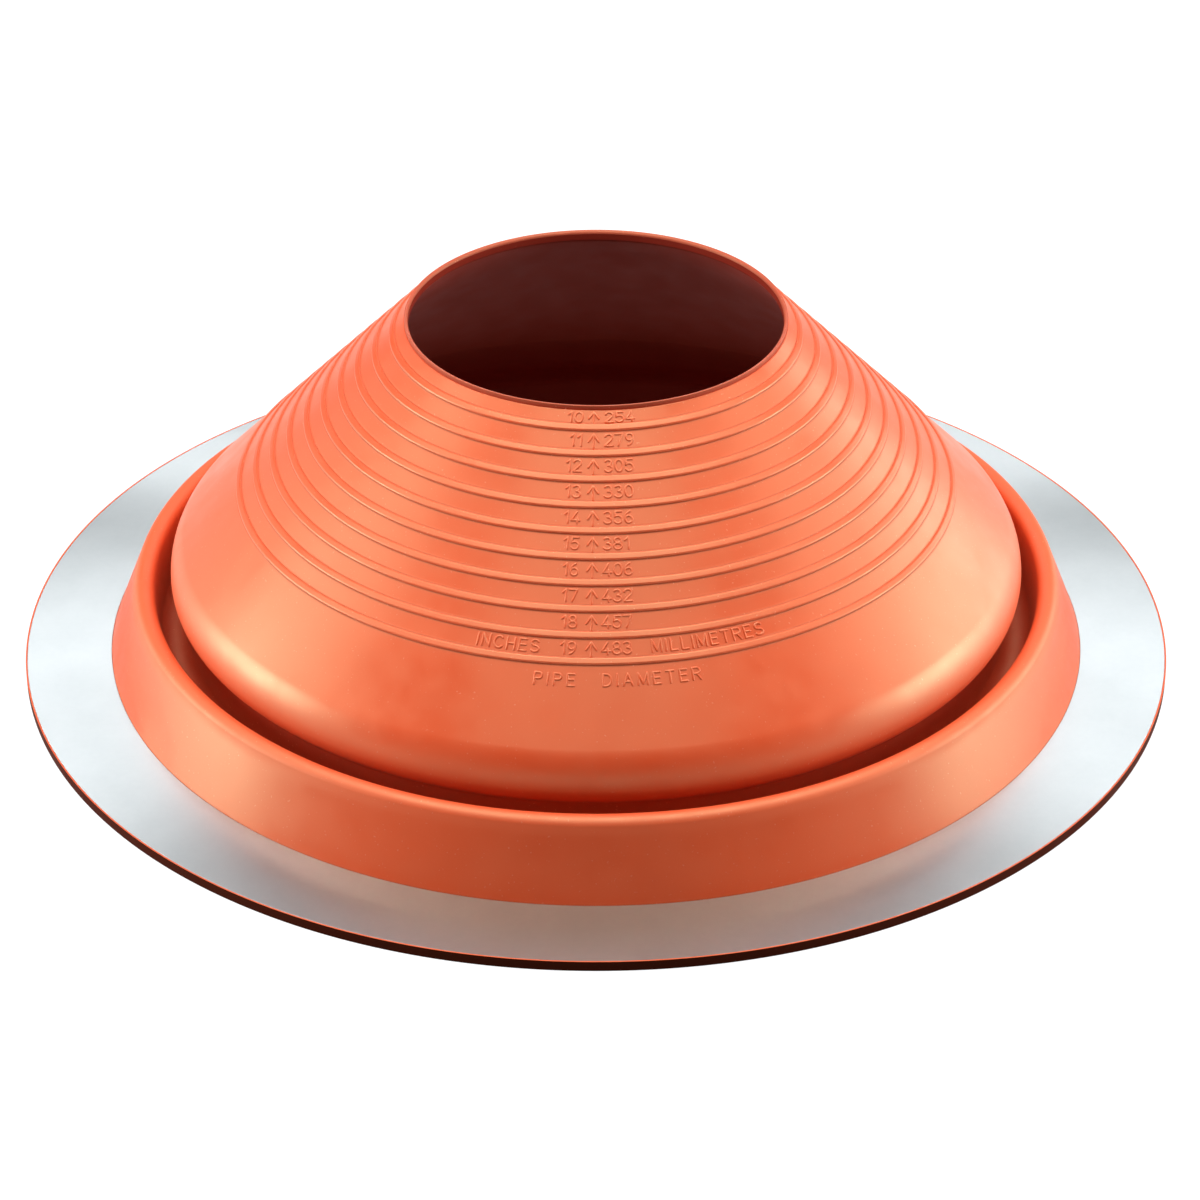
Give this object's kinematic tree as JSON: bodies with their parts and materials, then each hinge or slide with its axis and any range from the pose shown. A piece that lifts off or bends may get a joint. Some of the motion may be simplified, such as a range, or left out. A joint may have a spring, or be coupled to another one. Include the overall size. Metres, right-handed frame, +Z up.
{
  "type": "pipe flashing boot",
  "caption": "Round silicone boot that seals a pipe through a roof: a cone with raised trim beads on a pleated collar, and a flat flange with an aluminium ring let into its top.",
  "frame": {"origin": "centre of the flange's underside, on the boot's axis", "axes": "+Z up along the pipe; the raised size scale on the cone faces -Y"},
  "size_m": [0.6349, 0.635, 0.2006],
  "materials": {
    "silicone": "satin moulded silicone, terracotta orange",
    "ring": "bright rolled sheet"
  },
  "bodies": {
    "root": {"silicone_boot": "silicone", "aluminium_ring": "ring"}
  },
  "joints": []
}
